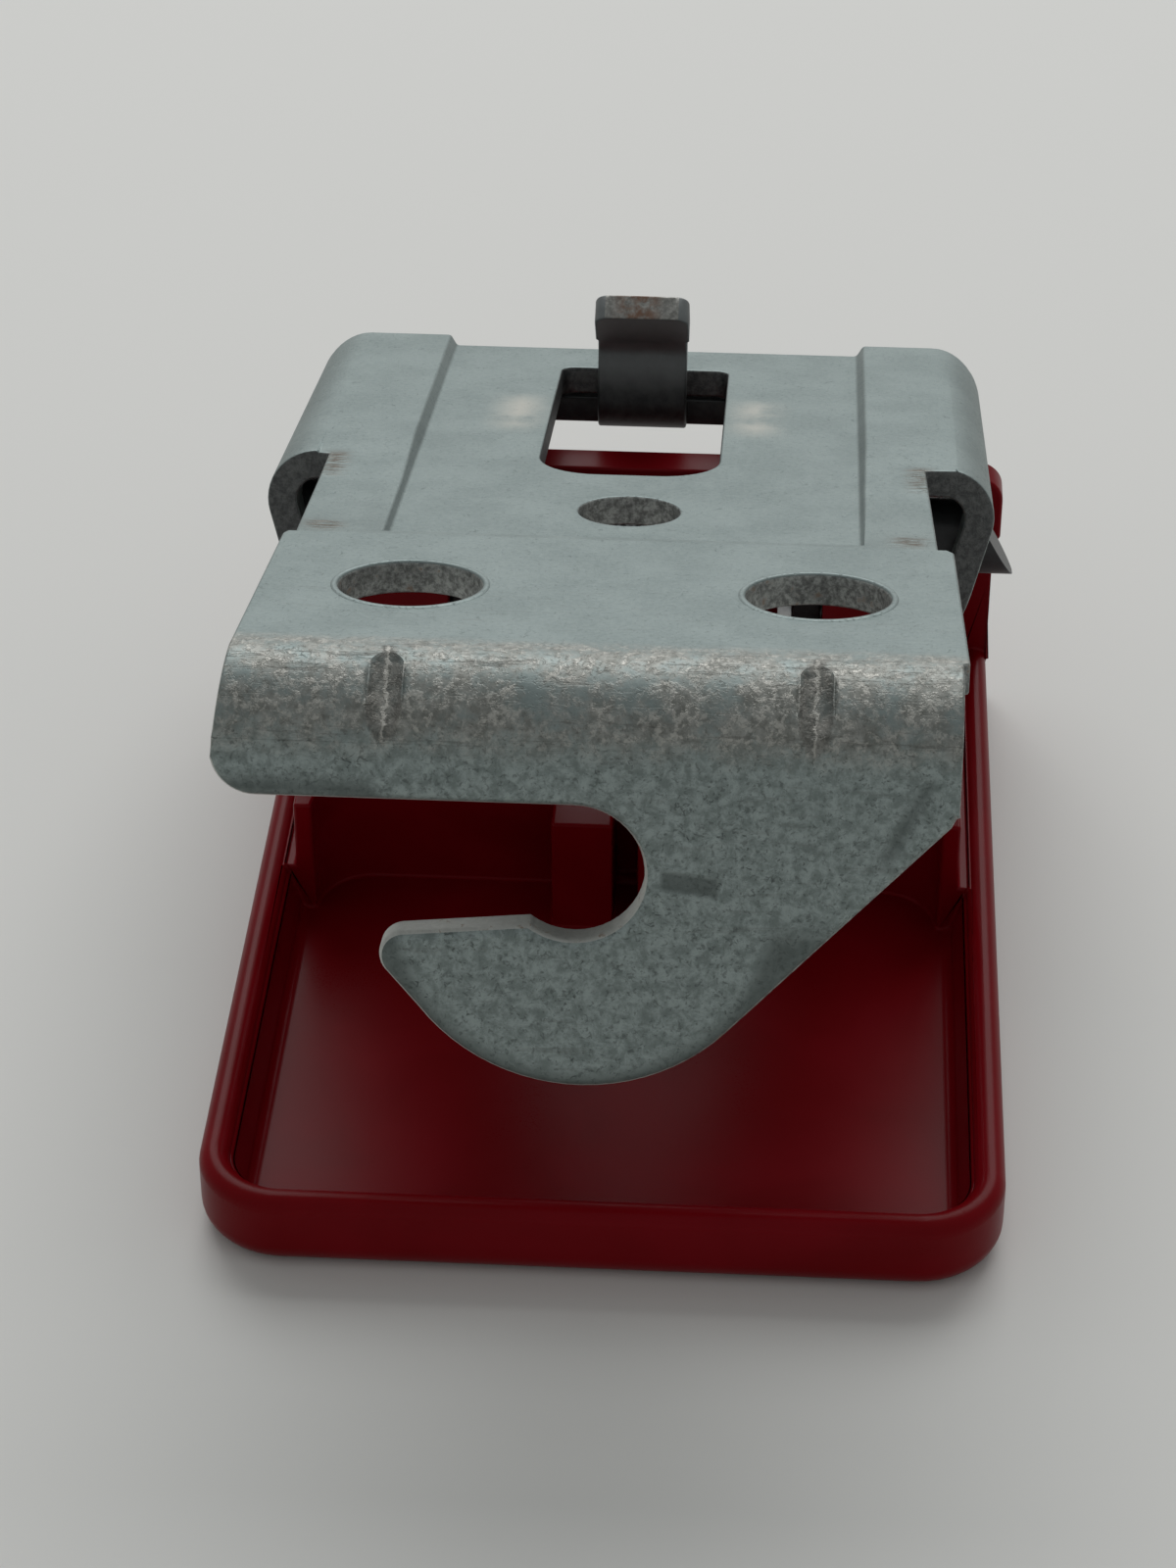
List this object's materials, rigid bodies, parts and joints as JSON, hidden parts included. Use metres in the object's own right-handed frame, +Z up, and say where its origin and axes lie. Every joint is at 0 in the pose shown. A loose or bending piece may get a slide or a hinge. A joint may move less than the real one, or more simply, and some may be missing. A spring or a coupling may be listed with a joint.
{
  "type": "gate latch",
  "caption": "Squeeze latch: zinc-plated steel hook plate with bolt holes and a window, hinged on a dark red moulded handle whose black steel finger stands up through the window.",
  "frame": {"origin": "centre of the latch's footprint, on the surface that the handle's tray lies on", "axes": "+Z up, +Y from the hook towards the finger and the rear wall, +X to the right seen from the hook's side"},
  "size_m": [0.0648, 0.1018, 0.0526],
  "materials": {
    "zinc_steel": "dull zinc plating, speckled and lightly scratched",
    "red_plastic": "satin moulded plastic, deep red",
    "black_plastic": "moulded black plastic",
    "black_steel": "blackened steel, worn at the tip",
    "bright_steel": "turned steel",
    "spring_steel": "drawn spring wire",
    "screw_steel": "zinc-plated screw"
  },
  "bodies": {
    "bracket": {"hook_bracket": "zinc_steel"},
    "handle": {"handle_shell": "red_plastic", "hub_block": "red_plastic", "snap_bush_left": "black_plastic", "snap_bush_right": "black_plastic", "tongue_lever": "black_steel", "pivot_spindle": "bright_steel", "return_spring": "spring_steel", "lever_rivet_left": "bright_steel", "lever_rivet_right": "bright_steel", "hub_screw_front_left": "screw_steel", "hub_screw_front_right": "screw_steel", "hub_screw_rear_left": "screw_steel", "hub_screw_rear_right": "screw_steel"}
  },
  "joints": [
    {"name": "handle_squeeze", "type": "hinge", "parent": "bracket", "child": "handle", "pos_m": [0, 0.01499, 0.03071], "axis": [1, 0, 0], "range_deg": [-12, 0], "stiffness_Nm_per_rad": 0.35, "springref_deg": 57.3, "deforming": ["return_spring"]}
  ]
}
